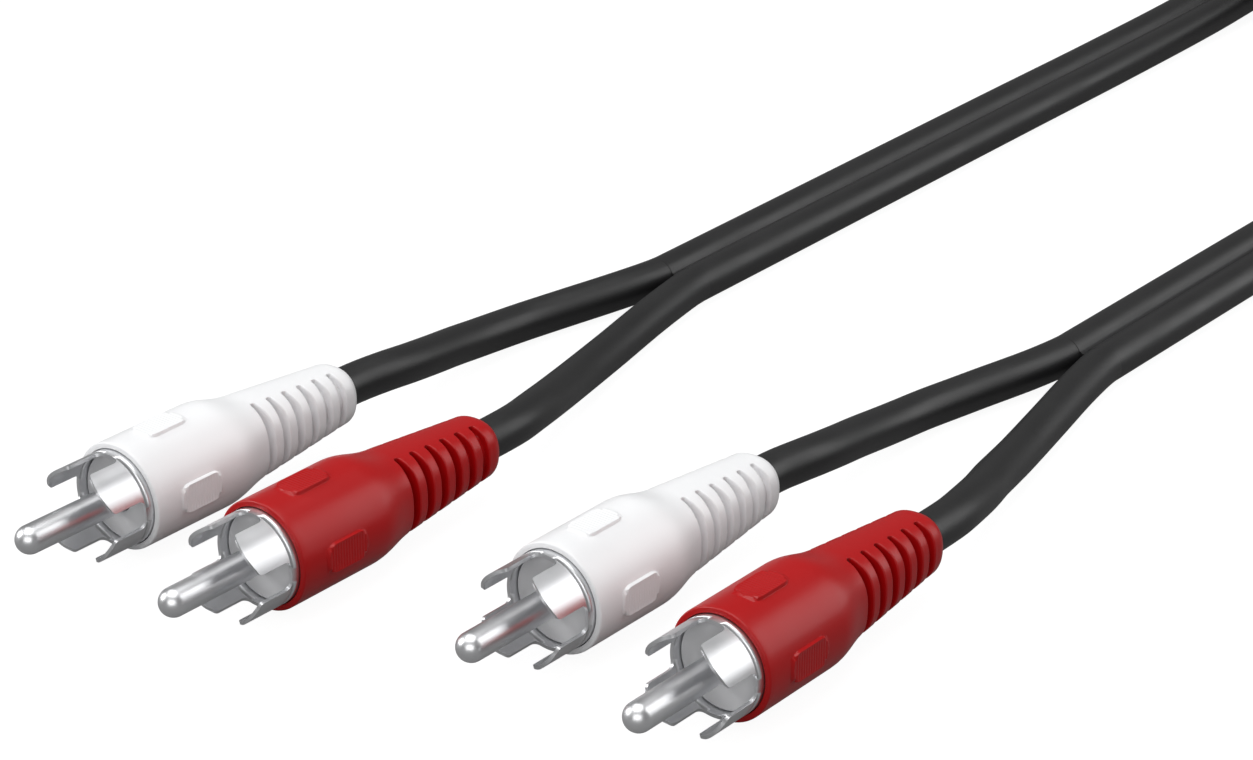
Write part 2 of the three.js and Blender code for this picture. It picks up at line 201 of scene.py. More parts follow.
class Finishes(bpy.types.PropertyGroup):
    """Colours of the cable's materials."""

    white: colour("White plastic", (0.87, 0.875, 0.885), "Overmould of the left channel")
    red: colour("Red plastic", (0.40, 0.002, 0.003), "Overmould of the right channel")
    insulator: colour("Insulator", (0.66, 0.66, 0.67), "Plastic between pin and shell")
    jacket: colour("Jacket", (0.010, 0.010, 0.0103), "Jacket of the leads")
    nickel: colour("Nickel", (0.78, 0.785, 0.80), "Plating of pin and shell")
    copper: colour("Copper", (0.55, 0.23, 0.10), "Bare wire of the braid")
    wire: colour("Wire insulation", (0.68, 0.66, 0.60), "Insulation of the middle wire")
    strap: colour("Strap", (0.016, 0.016, 0.018), "Woven strap around the coil")


class StageLight(bpy.types.PropertyGroup):
    """Strength of the studio's soft lamps."""

    overhead: number("Overhead", 6.6, "Large soft lamp above", unit="POWER")
    strip: number("Strip", 3.0, "Long soft lamp behind on the right", unit="POWER")
    side: number("Side", 3.2, "Soft lamp on the left", unit="POWER")
    front: number("Front", 3.0, "Soft lamp before the pins", unit="POWER")
    room: number("Room", 0.2, "Even light from all around")
    mirrored: number("Mirrored", 0.1, "Brightness of the surroundings in gloss")


# Meshes


def in_scene(name, data):
    """A new object with this data, linked to the scene."""
    made = bpy.data.objects.new(name, data)
    bpy.context.scene.collection.objects.link(made)
    return made


def new_piece(name, points, faces):
    """An object whose mesh has these points and faces, closed and facing outwards."""
    mesh = bpy.data.meshes.new(name)
    mesh.from_pydata(np.asarray(points, float).tolist(), [], faces)
    tidy_mesh(mesh)
    return in_scene(name, mesh)


def tidy_mesh(mesh, sharp_angle=38):
    """Merges doubles, turns faces outwards and keeps edges past an angle in degrees sharp."""
    work = bmesh.new()
    work.from_mesh(mesh)
    bmesh.ops.remove_doubles(work, verts=work.verts, dist=1e-7)
    bmesh.ops.recalc_face_normals(work, faces=work.faces)
    work.to_mesh(mesh)
    work.free()
    mesh.shade_smooth()
    mesh.set_sharp_from_angle(angle=math.radians(sharp_angle))


def ring_faces(rings, around, closed=False):
    """Quads between rings of points; closed joins the last ring to the first as well."""
    faces = []
    for ring in range(rings if closed else rings - 1):
        start, after = ring * around, (ring + 1) % rings * around
        for i in range(around):
            j = (i + 1) % around
            faces.append((start + i, start + j, after + j, after + i))
    return faces


def turned_points(outline, around):
    """Rings of points made by turning an outline of (radius, y) about the Y axis."""
    angle = np.arange(around) * 2 * math.pi / around
    radius, y = np.array(outline).T
    along = np.repeat(y[:, None], around, 1)
    rings = np.stack([np.outer(radius, np.sin(angle)), along, np.outer(radius, np.cos(angle))], 2)
    return rings.reshape(-1, 3)


def add_block(piece, size, centre, edge_round, segments):
    """Adds a rectangular block with rounded edges to a piece's mesh."""
    work = bmesh.new()
    work.from_mesh(piece.data)
    made = bmesh.ops.create_cube(work, size=1)
    for vertex in made["verts"]:
        vertex.co = Vector(a * b for a, b in zip(vertex.co, size)) + centre
    edges = [e for e in work.edges if all(v in made["verts"] for v in e.verts)]
    bmesh.ops.bevel(work, geom=edges, offset=edge_round, segments=segments, affect="EDGES")
    work.to_mesh(piece.data)
    work.free()
    tidy_mesh(piece.data)


def corner_arc(centre, radius, start, end, steps):
    """Points of an arc in (radius, y), from a start to an end angle in degrees."""
    angle = np.radians(np.linspace(start, end, steps + 1))
    return [(centre[0] + radius * math.cos(a), centre[1] + radius * math.sin(a)) for a in angle]


def eased(value, low, high):
    """0 below low, 1 above high, with a smooth rise between them."""
    t = np.clip((np.asarray(value, float) - low) / (high - low), 0, 1)
    return t * t * (3 - 2 * t)


def place_of(plug):
    """Where a plug's axis meets its front rim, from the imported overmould."""
    low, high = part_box(f"{plug}_overmould")
    return Vector(((low.x + high.x) / 2, low.y, (low.z + high.z) / 2))


def dress(piece, material, slot, *nodes):
    """Gives a piece its material, lets it stand for its CAD nodes and rides it on the cable."""
    piece.data.materials.clear()
    piece.data.materials.append(material)
    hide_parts(*nodes)
    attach(piece, BODY)


def set_on_plugs(pattern, suffix, material_of, slot_of):
    """Copies a piece made about the plug's own axis to all four plugs."""
    for plug in PLUGS:
        mesh = pattern.data.copy()
        mesh.name = f"{plug}_{suffix}_dressed"
        mesh.transform(Matrix.Translation(place_of(plug)))
        dress(in_scene(mesh.name, mesh), material_of(plug), slot_of(plug), f"{plug}_{suffix}")
    bpy.data.objects.remove(pattern)


# Leads


def smooth_route(points, step):
    """Points about a step apart on a smooth curve through given points."""
    p = np.array(points, float)
    p = np.vstack([2 * p[0] - p[1], p, 2 * p[-1] - p[-2]])
    curve = []
    for a, b, c, d in zip(p, p[1:], p[2:], p[3:]):
        ab, bc, cd = (math.sqrt(np.linalg.norm(v)) for v in (b - a, c - b, d - c))
        out = ((b - a) / ab - (c - a) / (ab + bc) + (c - b) / bc) * bc
        into = ((c - b) / bc - (d - b) / (bc + cd) + (d - c) / cd) * bc
        t = np.linspace(0, 1, 24, endpoint=False)[:, None]
        square, cube = 3 * (c - b) - 2 * out - into, 2 * (b - c) + out + into
        curve.append(b + out * t + square * t**2 + cube * t**3)
    curve = np.vstack(curve + [p[-2:-1]])
    along = np.concatenate([[0], np.cumsum(np.linalg.norm(np.diff(curve, axis=0), axis=1))])
    even = np.linspace(0, along[-1], max(2, round(along[-1] / step)) + 1)
    return np.stack([np.interp(even, along, curve[:, k]) for k in range(3)], 1)


def coil_turns(sizes, start, end_angle):
    """The coil's turns, clockwise from a start on its left side, each layer on the last."""
    step, climb_start, climb_end = 5.0, 0.74, 0.9
    turn = np.arange(0, 180 - end_angle, step) / 360
    angle = np.radians(180 - turn * 360)
    layer = np.floor(turn) + eased(turn % 1, climb_start, climb_end)
    x = start[0] + sizes.coil_radius + sizes.coil_radius * np.cos(angle)
    y = start[1] + sizes.coil_radius * np.sin(angle)
    return np.stack([x, y, start[2] + layer * sizes.layer_pitch], 1)


def curve_object(name, points, radius=None, closed=False):
    """A curve of straight pieces through the points, with a radius at each where one is given."""
    curve = bpy.data.curves.new(name, "CURVE")
    curve.dimensions = "3D"
    spline = curve.splines.new("POLY")
    spline.points.add(len(points) - 1)
    for i, point in enumerate(points):
        spline.points[i].co = (*point, 1)
        spline.points[i].radius = 1 if radius is None else radius[i]
    spline.use_cyclic_u = closed
    return in_scene(name, curve)


def round_section(sizes, around=36):
    angle = np.arange(around) * 2 * math.pi / around
    r = sizes.strand_radius
    return [(r * math.cos(a), r * math.sin(a), 0) for a in angle]


def twin_section(sizes):
    """Two round strands side by side, joined with a rounded crease above and below."""
    r, half, f = sizes.strand_radius, sizes.strand_pitch / 2, sizes.crease_round
    height = math.sqrt((r + f) ** 2 - half**2)
    touch = math.atan2(height, -half)
    strand = [(half + r * math.cos(a), r * math.sin(a)) for a in np.linspace(-touch, touch, 25)]
    lean = math.atan2(-height, half)
    crease_angles = np.linspace(lean, -math.pi / 2, 4)[1:]
    crease = [(f * math.cos(a), height + f * math.sin(a)) for a in crease_angles]
    right = strand + crease
    left = [(-x, -y) for x, y in right]
    return [(x, y, 0) for x, y in right + left]


def lead_tree():
    """Geometry nodes that sweep a section along a route and give the tube its jacket."""
    tree = bpy.data.node_groups.new("lead along a route", "GeometryNodeTree")
    face = tree.interface
    face.new_socket("Route", in_out="INPUT", socket_type="NodeSocketGeometry")
    face.new_socket("Section", in_out="INPUT", socket_type="NodeSocketObject")
    face.new_socket("Jacket", in_out="INPUT", socket_type="NodeSocketMaterial")
    face.new_socket("Lead", in_out="OUTPUT", socket_type="NodeSocketGeometry")
    add = tree.nodes.new
    start, end = add("NodeGroupInput"), add("NodeGroupOutput")
    level, section = add("GeometryNodeSetCurveNormal"), add("GeometryNodeObjectInfo")
    sweep = add("GeometryNodeCurveToMesh")
    real, jacket = add("GeometryNodeRealizeInstances"), add("GeometryNodeSetMaterial")
    level.mode = "Z_UP"
    sweep.inputs["Fill Caps"].default_value = True
    join = tree.links.new
    join(start.outputs["Route"], level.inputs["Curve"])
    join(start.outputs["Section"], section.inputs["Object"])
    join(level.outputs["Curve"], sweep.inputs["Curve"])
    join(section.outputs["Geometry"], sweep.inputs["Profile Curve"])
    join(sweep.outputs["Mesh"], real.inputs["Geometry"])
    join(real.outputs["Geometry"], jacket.inputs["Geometry"])
    join(start.outputs["Jacket"], jacket.inputs["Material"])
    join(jacket.outputs["Geometry"], end.inputs["Lead"])
    return tree


def swept_lead(name, centres, section, radius=None):
    """A tube along the ring centres, made by the lead tree and kept as a plain mesh."""
    route = curve_object(f"{name}_route", centres, radius)
    profile = curve_object(f"{name}_section", section, closed=True)
    tree = bpy.data.node_groups.get("lead along a route") or lead_tree()
    sweep = route.modifiers.new("lead", "NODES")
    sweep.node_group = tree
    inputs = {s.name: s.identifier for s in tree.interface.items_tree if s.in_out == "INPUT"}
    sweep[inputs["Section"]] = profile
    sweep[inputs["Jacket"]] = finish("jacket")
    graph = bpy.context.evaluated_depsgraph_get()
    mesh = bpy.data.meshes.new_from_object(route.evaluated_get(graph))
    mesh.name = name
    tidy_mesh(mesh, 60)
    for helper in (route, profile):
        bpy.data.objects.remove(helper)
    return in_scene(name, mesh)


# Plug pieces


def body_stations(sizes):
    """Distances from the rim where the overmould's surface gets a ring of points."""
    s = sizes
    taper_end = s.body_length - s.boot_end_round
    pad_end = s.pad_start + s.pad_length
    stations = list(np.linspace(s.rim_round, s.pad_start - 0.2 * MM, 5)[1:])
    stations += list(np.arange(s.pad_start - 0.1 * MM, pad_end + 0.11 * MM, s.ridge_pitch / 4))
    stations += list(np.linspace(pad_end + 0.4 * MM, s.barrel_length, 5))
    stations += list(np.linspace(s.barrel_length, s.barrel_length + s.shoulder_length, 22)[1:])
    across = np.array([0.25, 0.16, 0.1, 0.05, 0.0, -0.03, -0.06, -0.2]) * MM
    for slot in range(s.slot_count):
        middle = s.slot_first + slot * s.slot_pitch
        for edge in s.slot_width / 2 + across:
            stations += [middle - edge, middle + edge]
        stations += [middle, middle + s.slot_pitch / 2]
    stations += [taper_end - 0.3 * MM]
    stations = sorted(y for y in stations if y < taper_end - 0.05 * MM)
    return [y for i, y in enumerate(stations) if i == 0 or y - stations[i - 1] > 0.01 * MM]


def body_radius(sizes, y):
    """Radius of the barrel, shoulder and strain relief, without slots and pads."""
    s = sizes
    boot_taper = 0.092
    t = np.linspace(0, 1, 60)
    edge = [s.barrel_length, s.barrel_length + 0.36 * s.shoulder_length,
            s.barrel_length + 0.58 * s.shoulder_length, s.barrel_length + s.shoulder_length]
    reach = [s.barrel_radius, s.barrel_radius, s.boot_radius + 0.14 * MM, s.boot_radius]
    weights = ((1 - t) ** 3, 3 * t * (1 - t) ** 2, 3 * t * t * (1 - t), t**3)
    along = sum(w * p for w, p in zip(weights, edge))
    radius = sum(w * p for w, p in zip(weights, reach))
    boot = s.boot_radius - boot_taper * np.maximum(0, np.asarray(y) - edge[3])
    return np.where(np.asarray(y) < edge[3], np.interp(y, along, radius), boot)


def around_plug(sizes):
    """Angles from the top around a plug, close together where pads and slots end."""
    angles = list(np.arange(0, 360, 4.5))
    for side in (0, 90, 180, 270):
        for edge in (side - 15.5, side + 15.5):
            angles += list(np.arange(edge - 2.5, edge + 2.6, 0.5))
    for side in (90, 270):
        for end in (-sizes.slot_reach, sizes.slot_reach):
            angles += list(side - sizes.spine_turn + end + np.arange(-4.25, 4.3, 0.5))
    angles = np.sort(np.mod(angles, 360))
    return np.radians([a for a, b in zip(angles, [*angles[1:], 360]) if b - a > 0.2])


def slot_half_width(sizes, angle):
    """Half of a slot's width at an angle from the top, narrower and rounded at its ends, and
    the distance to its nearer end, which is negative on the spine."""
    s = sizes
    turned = np.angle(np.exp(1j * (angle + math.radians(s.spine_turn))))
    to_end = (math.radians(s.slot_reach) - np.abs(np.abs(turned) - math.pi / 2)) * s.boot_radius
    half = s.slot_width / 2 * (0.6 + 0.4 * eased(to_end, 0, 3 * MM))
    tip = s.slot_width * 0.3
    inside = np.clip(to_end / tip, 0, 1)
    return half * np.sqrt(1 - (1 - inside) ** 2), to_end


def follow_slots(sizes, angle, y):
    """Moves the rows of points beside each slot, so that they run along its edges."""
    s = sizes
    half = np.maximum(slot_half_width(s, angle)[0], 0.12 * MM)
    for slot in range(s.slot_count):
        off = y - (s.slot_first + slot * s.slot_pitch)
        beyond = np.abs(off) - s.slot_width / 2
        reach = np.where(beyond > 0, half + beyond, half * np.abs(off) / (s.slot_width / 2))
        near = np.abs(off) < s.slot_width / 2 + 0.26 * MM
        y = np.where(near, y - off + np.sign(off) * reach, y)
    return y


def slot_drop(distance, lip, depth):
    """How far the surface drops at a distance outside a slot's edge; negative is inside."""
    t = np.clip(1 - distance / lip, 0, 1)
    drop = lip * (1 - np.sqrt(1 - t * t))
    return drop + np.clip(-distance / (0.06 * MM), 0, 1) * np.maximum(depth - lip, 0)


def squared(sizes, angle, y):
    """The overmould's plain surface: round along the barrel, a little squared along the boot."""
    s = sizes
    boot_squareness = 0.55
    power = 2 + boot_squareness * eased(y, s.barrel_length, s.barrel_length + s.shoulder_length * 0.9)
    plain = body_radius(s, y) / 2 ** (0.5 - 1 / power)
    return plain, plain / (np.abs(np.sin(angle)) ** power + np.abs(np.cos(angle)) ** power) ** (1 / power)


def raise_pad(sizes, surface, off, y):
    """Raises one grip pad out of the surface, at angles off the pad's middle."""
    s = sizes
    facing = np.abs(off) < 0.6
    off = np.where(facing, off, 0)
    across = np.where(facing, s.pad_top * np.tan(off), 1)
    dx = np.abs(across) - s.pad_width / 2 + s.pad_corner
    dy = np.abs(y - s.pad_start - s.pad_length / 2) - s.pad_length / 2 + s.pad_corner
    outside = np.hypot(np.maximum(dx, 0), np.maximum(dy, 0)) + np.minimum(np.maximum(dx, dy), 0)
    outside = outside - s.pad_corner
    on_pad = 1 - eased(outside, -0.13 * MM, 0.05 * MM)
    on_ridges = 1 - eased(outside, -0.35 * MM, -0.2 * MM)
    ridge = s.ridge_depth * (0.5 - 0.5 * np.cos(2 * math.pi * (y - s.pad_start) / s.ridge_pitch))
    top = s.pad_top / np.cos(off) - ridge * on_ridges
    return np.where(facing, surface + (top - surface) * on_pad, surface)


def body_surface(sizes, angle, y):
    """Radius of an overmould's whole outer surface at angles from the top and places along it."""
    s = sizes
    plain, surface = squared(s, angle, y)
    half, to_end = slot_half_width(s, angle)
    for slot in range(s.slot_count):
        off = np.abs(y - (s.slot_first + slot * s.slot_pitch))
        distance = np.where(to_end > 0, off - half, np.hypot(off, to_end))
        surface = surface - slot_drop(distance, s.slot_lip, surface - s.slot_floor)
    for side in range(4):
        off = np.angle(np.exp(1j * (angle - side * math.pi / 2)))
        surface = raise_pad(s, surface, off, y)
    return np.where(y < s.body_length - s.boot_end_round, surface, plain)


def overmould_mesh(sizes):
    """Barrel with ridged pads, shoulder and slotted strain relief, with the bores inside."""
    s = sizes
    angle = around_plug(s)
    stations = np.array(body_stations(s))[:, None]
    y = follow_slots(s, angle[None, :], np.repeat(stations, len(angle), 1))
    radius = body_surface(s, angle[None, :], y)
    rim = corner_arc((s.barrel_radius - s.rim_round, s.rim_round), s.rim_round, -90, 0, 5)
    rim_rows = np.array([[r] * len(angle) for r, _ in rim])
    taper_end = s.body_length - s.boot_end_round
    end = np.radians(np.linspace(0, 90, 9))
    end_outer = body_surface(s, angle[None, :], np.array([[taper_end - 0.05 * MM]]))[0]
    end_rows = np.array([s.cord_bore + (end_outer - s.cord_bore) * math.cos(a) for a in end])
    end_y = [taper_end + s.boot_end_round * math.sin(a) for a in end]
    inside = [
        (s.cord_bore, s.chamber_end), (s.chamber_radius, s.chamber_end), (s.chamber_radius, s.bore_depth),
        (s.bore_radius, s.bore_depth), (s.bore_radius, 0.05 * MM), (s.bore_radius + 0.05 * MM, 0),
    ]
    inside_rows = np.array([[r] * len(angle) for r, _ in inside])
    rows = np.vstack([rim_rows, radius, end_rows, inside_rows])
    rim_y, end_y, inside_y = (
        np.repeat(np.array(part)[:, None], len(angle), 1)
        for part in ([v for _, v in rim], end_y, [v for _, v in inside])
    )
    places = np.vstack([rim_y, y, end_y, inside_y])
    points = np.stack([rows * np.sin(angle), places, rows * np.cos(angle)], 2)
    faces = ring_faces(len(rows), len(angle), closed=True)
    return new_piece("overmould", points.reshape(-1, 3), faces)


def petal_rows(sizes):
    """Rows along a petal as (distance from its root, half of the gap beside it there)."""
    s = sizes
    reach = s.petal_reach - s.ring_reach
    half = s.petal_gap / 2
    rows = []
    for a in np.radians(np.linspace(0, 90, 6)):
        rows.append((s.gap_corner * (1 - math.cos(a)), half - s.gap_corner * (1 - math.sin(a))))
    for at in np.linspace(s.gap_corner, reach - s.petal_corner, 6)[1:-1]:
        rows.append((at, half))
    for a in np.radians(np.linspace(0, 90, 8)):
        rows.append((reach - s.petal_corner * (1 - math.sin(a)), half + s.petal_corner * (1 - math.cos(a))))
    return rows


def shell_skin(sizes, inwards):
    """One skin of the shell's sheet: its ring, back wall and petals, set inwards by a distance."""
    s = sizes
    across_gap, across_petal = 6, 16
    quarter = math.pi / 2
    rows = petal_rows(s)
    root_half = rows[0][1] / s.shell_radius
    gap = np.linspace(-root_half, root_half, across_gap + 1)[:-1]
    petal = np.linspace(root_half, quarter - root_half, across_petal + 1)[:-1]
    columns = np.concatenate([side * quarter + np.concatenate([gap, petal]) for side in range(4)])
    radius, bend = s.shell_radius - inwards, 0.5 * MM
    ring = [(radius, y) for y in np.linspace(-s.ring_reach, s.shell_depth - bend, 8)]
    ring += corner_arc((s.shell_radius - bend, s.shell_depth - bend), bend - inwards, 0, 90, 4)[1:]
    ring += [(r, s.shell_depth - inwards) for r in np.linspace(s.shell_radius - bend, s.web_hole, 5)[1:]]
    points = [(r * math.sin(a), y, r * math.cos(a)) for r, y in ring for a in columns]
    faces = ring_faces(len(ring), len(columns))
    for side in range(4):
        first = side * (across_gap + across_petal) + across_gap
        previous = [(first + i) % len(columns) for i in range(across_petal + 1)]
        for at, gap_half in rows[1:]:
            start = gap_half / s.shell_radius
            arch = s.petal_arch * eased(at, 2 * MM, s.petal_reach - s.ring_reach)
            current = list(range(len(points), len(points) + across_petal + 1))
            for u in np.linspace(-1, 1, across_petal + 1):
                a = side * quarter + quarter / 2 + u * (quarter / 2 - start)
                points.append((radius * math.sin(a), arch * u * u - s.ring_reach - at, radius * math.cos(a)))
            for i in range(across_petal):
                faces.append((previous[i], previous[i + 1], current[i + 1], current[i]))
            previous = current
    return points, faces


def ground_shell_mesh(sizes):
    """Ring with four petals, a back wall and a solder lug, bent from one thin sheet."""
    outer, faces = shell_skin(sizes, 0)
    inner, _ = shell_skin(sizes, sizes.sheet)
    count = len(outer)
    sides = {(a, b) for face in faces for a, b in zip(face, face[1:] + face[:1])}
    rims = [(a, b) for a, b in sides if (b, a) not in sides]
    around = [(b, a, a + count, b + count) for a, b in sorted(rims)]
    back = [tuple(i + count for i in reversed(face)) for face in faces]
    shell = new_piece("ground_shell", outer + inner, faces + back + around)
    lug = Vector((2.4 * MM, 4.1 * MM, sizes.sheet))
    lug_centre = Vector((0, sizes.shell_depth + 1.9 * MM, -sizes.web_hole - 0.05 * MM - sizes.sheet / 2))
    add_block(shell, lug, lug_centre, 0.08 * MM, 2)
    return shell


def insulator_mesh(sizes):
    """Plastic disc in the mouth of the shell, with a short bush around the pin behind it."""
    s = sizes
    hole = s.pin_radius + s.fit_gap
    outer = s.shell_radius - s.sheet - s.fit_gap
    bush, bush_length = s.web_hole - 0.1 * MM, 1.6 * MM
    front, back = 0.05 * MM, s.shell_depth - s.sheet - s.fit_gap
    r, around = 0.12 * MM, 96
    outline = [(hole, front + r), (hole + r * 0.3, front + r * 0.3), (hole + r, front)]
    outline += corner_arc((outer - r, front + r), r, -90, 0, 4)
    outline += [(outer, back), (bush, back), (bush, back + bush_length), (hole, back + bush_length)]
    faces = ring_faces(len(outline), around, closed=True)
    return new_piece("insulator", turned_points(outline, around), faces)


def contact_pin_mesh(sizes):
    """Round pin with a domed tip and a solder cup."""
    s = sizes
    r = s.pin_radius
    tip = -s.pin_reach
    outline = [(max(x, 0), y) for x, y in corner_arc((0, tip + r), r, -90, 0, 14)]
    outline[0] = (0, tip)
    outline += [(r, y) for y in np.linspace(tip + r, s.pin_tail, 8)[1:]]
    cup_end = s.pin_tail + s.cup_length
    outline += [(s.cup_radius, s.pin_tail), (s.cup_radius, cup_end), (0, cup_end)]
    around = 64
    return new_piece("contact_pin", turned_points(outline, around), ring_faces(len(outline), around))


def tie_mesh(sizes):
    """A woven strap around the coil's far side, its end lapped over the outside."""
    s = sizes
    low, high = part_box("coil_tie")
    wall, corner, edge = s.tie_thickness, 2.2 * MM, 0.35 * MM
    corners = ((high.y, high.z), (low.y, high.z), (low.y, low.z), (high.y, low.z))
    loop = []
    for quarter, (cy, cz) in enumerate(corners):
        inner_y = cy - math.copysign(corner, cy - (low.y + high.y) / 2)
        inner_z = cz - math.copysign(corner, cz - (low.z + high.z) / 2)
        for a in np.radians(np.linspace(quarter * 90, quarter * 90 + 90, 7)):
            loop.append(((inner_y, inner_z), (math.cos(a), math.sin(a))))
    section = [(low.x, corner - wall + edge), (low.x, corner - edge)]
    section += [(x, corner) for x in np.linspace(low.x + edge, high.x - edge, 7)]
    section += [(high.x, corner - edge), (high.x, corner - wall + edge)]
    section += [(x, corner - wall) for x in np.linspace(high.x - edge, low.x + edge, 7)]
    points = []
    for (cy, cz), (uy, uz) in loop:
        points += [(x, cy + uy * r, cz + uz * r) for x, r in section]
    tie = new_piece("coil_tie_dressed", points, ring_faces(len(loop), len(section), closed=True))
    free_end = Vector((s.tie_width - 0.4 * MM, 0.8 * MM, 11 * MM))
    end_centre = Vector(((low.x + high.x) / 2, high.y + 0.38 * MM, low.z + 9.5 * MM))
    add_block(tie, free_end, end_centre, 0.3 * MM, 3)
    return tie


# Materials


def new_group(name, inputs, outputs):
    """A shader node group with these sockets, given as (name, type, default)."""
    group = bpy.data.node_groups.new(name, "ShaderNodeTree")
    for socket, kind, default in inputs:
        made = group.interface.new_socket(socket, in_out="INPUT", socket_type=kind)
        made.default_value = default
    for socket, kind in outputs:
        group.interface.new_socket(socket, in_out="OUTPUT", socket_type=kind)
    return group, group.nodes.new("NodeGroupInput"), group.nodes.new("NodeGroupOutput")


def maths(tree, operation, a, b=None, c=None):
    """A Math node of the tree; its values are numbers or sockets."""
    made = tree.nodes.new("ShaderNodeMath")
    made.operation = operation
    for socket, value in zip(made.inputs, (a, b, c)):
        if isinstance(value, bpy.types.NodeSocket):
            tree.links.new(value, socket)
        elif value is not None:
            socket.default_value = value
    return made.outputs[0]


def noise(tree, coordinates, scale, detail):
    made = tree.nodes.new("ShaderNodeTexNoise")
    tree.links.new(coordinates, made.inputs["Vector"])
    if isinstance(scale, bpy.types.NodeSocket):
        tree.links.new(scale, made.inputs["Scale"])
    else:
        made.inputs["Scale"].default_value = scale
    made.inputs["Detail"].default_value = detail
    return made.outputs["Fac"]


def stretched(tree, scale):
    """Object coordinates scaled along each axis."""
    coordinates = tree.nodes.new("ShaderNodeTexCoord").outputs["Object"]
    mapping = tree.nodes.new("ShaderNodeMapping")
    mapping.inputs["Scale"].default_value = scale
    tree.links.new(coordinates, mapping.inputs["Vector"])
    return mapping.outputs["Vector"]


def shaded_colour(tree, colour_in, strength):
    """A colour times a value that changes over the surface."""
    made = tree.nodes.new("ShaderNodeVectorMath")
    made.operation = "SCALE"
    tree.links.new(colour_in, made.inputs[0])
    tree.links.new(strength, made.inputs["Scale"])
    return made.outputs[0]


def moulded_group():
    """Moulded plastic: soft patches of tone, fine grain and a film that dulls the gloss in places."""
    group, start, end = new_group(
        "moulded surface",
        [("Color", "NodeSocketColor", (1, 1, 1, 1)), ("Roughness", "NodeSocketFloat", 0.4),
         ("Patches", "NodeSocketFloat", 0.04), ("Grain Scale", "NodeSocketFloat", 5000.0)],
        [("Color", "NodeSocketColor"), ("Roughness", "NodeSocketFloat"), ("Height", "NodeSocketFloat")],
    )
    place = stretched(group, (1, 1, 1))
    broad = noise(group, place, 140.0, 4.0)
    fine = noise(group, place, start.outputs["Grain Scale"], 2.0)
    swing = maths(group, "SUBTRACT", broad, 0.5)
    tone = maths(group, "MULTIPLY_ADD", swing, start.outputs["Patches"], 1.0)
    group.links.new(shaded_colour(group, start.outputs["Color"], tone), end.inputs["Color"])
    dulled = maths(group, "MULTIPLY_ADD", swing, 0.22, start.outputs["Roughness"])
    group.links.new(maths(group, "MULTIPLY_ADD", fine, 0.05, dulled), end.inputs["Roughness"])
    group.links.new(fine, end.inputs["Height"])
    return group


def plated_group():
    """Plated metal: long faint drawing marks, a few scratches and clouded patches."""
    group, start, end = new_group(
        "plated surface",
        [("Color", "NodeSocketColor", (1, 1, 1, 1)), ("Roughness", "NodeSocketFloat", 0.25)],
        [("Color", "NodeSocketColor"), ("Roughness", "NodeSocketFloat"), ("Height", "NodeSocketFloat")],
    )
    drawn = noise(group, stretched(group, (1, 0.03, 1)), 9000.0, 2.0)
    cloud = noise(group, stretched(group, (1, 1, 1)), 420.0, 4.0)
    swing = maths(group, "SUBTRACT", cloud, 0.5)
    tone = maths(group, "MULTIPLY_ADD", swing, 0.12, 1.0)
    group.links.new(shaded_colour(group, start.outputs["Color"], tone), end.inputs["Color"])
    rougher = maths(group, "MULTIPLY_ADD", swing, 0.12, start.outputs["Roughness"])
    group.links.new(maths(group, "MULTIPLY_ADD", drawn, 0.06, rougher), end.inputs["Roughness"])
    group.links.new(drawn, end.inputs["Height"])
    return group


def woven_group():
    """Crossing threads, for the strap and the braid, with painted shade in the dips of the weave."""
    group, start, end = new_group(
        "woven threads",
        [("Color", "NodeSocketColor", (1, 1, 1, 1)), ("Threads", "NodeSocketFloat", 900.0)],
        [("Color", "NodeSocketColor"), ("Height", "NodeSocketFloat")],
    )
    place = stretched(group, (1, 1, 1))
    separate = group.nodes.new("ShaderNodeSeparateXYZ")
    group.links.new(place, separate.inputs[0])
    along = maths(group, "MULTIPLY", separate.outputs["X"], start.outputs["Threads"])
    up = maths(group, "ADD", separate.outputs["Z"], separate.outputs["Y"])
    across = maths(group, "MULTIPLY", up, start.outputs["Threads"])
    wave_a = maths(group, "SINE", maths(group, "MULTIPLY", along, math.tau))
    wave_b = maths(group, "SINE", maths(group, "MULTIPLY", across, math.tau))
    weave = maths(group, "MULTIPLY_ADD", maths(group, "MULTIPLY", wave_a, wave_b), 0.5, 0.5)
    fuzz = noise(group, place, 6000.0, 3.0)
    height = maths(group, "MULTIPLY_ADD", fuzz, 0.5, weave)
    # Painted shade: the threads' colour is darker where the weave and its fuzz lie low.
    tone = maths(group, "MULTIPLY_ADD", height, 0.5, 0.6)
    group.links.new(shaded_colour(group, start.outputs["Color"], tone), end.inputs["Color"])
    group.links.new(height, end.inputs["Height"])
    return group


GROUPS = {"moulded surface": moulded_group, "plated surface": plated_group, "woven threads": woven_group}


def new_material(name):
    material = bpy.data.materials.new(name)
    material.use_nodes = True
    return material, material.node_tree, material.node_tree.nodes["Principled BSDF"]


def grouped_material(name, group, colour_value, values, relief):
    """A material whose colour, varying roughness and fine relief come from a node group."""
    material, tree, shader = new_material(name)
    node = tree.nodes.new("ShaderNodeGroup")
    node.node_tree = bpy.data.node_groups.get(group) or GROUPS[group]()
    node.inputs["Color"].default_value = (*colour_value, 1)
    for socket, value in values.items():
        node.inputs[socket].default_value = value
    tree.links.new(node.outputs["Color"], shader.inputs["Base Color"])
    if "Roughness" in node.outputs:
        tree.links.new(node.outputs["Roughness"], shader.inputs["Roughness"])
    bump = tree.nodes.new("ShaderNodeBump")
    bump.inputs["Distance"].default_value = relief
    bump.inputs["Strength"].default_value = 1.0
    tree.links.new(node.outputs["Height"], bump.inputs["Height"])
    tree.links.new(bump.outputs["Normal"], shader.inputs["Normal"])
    return material, shader


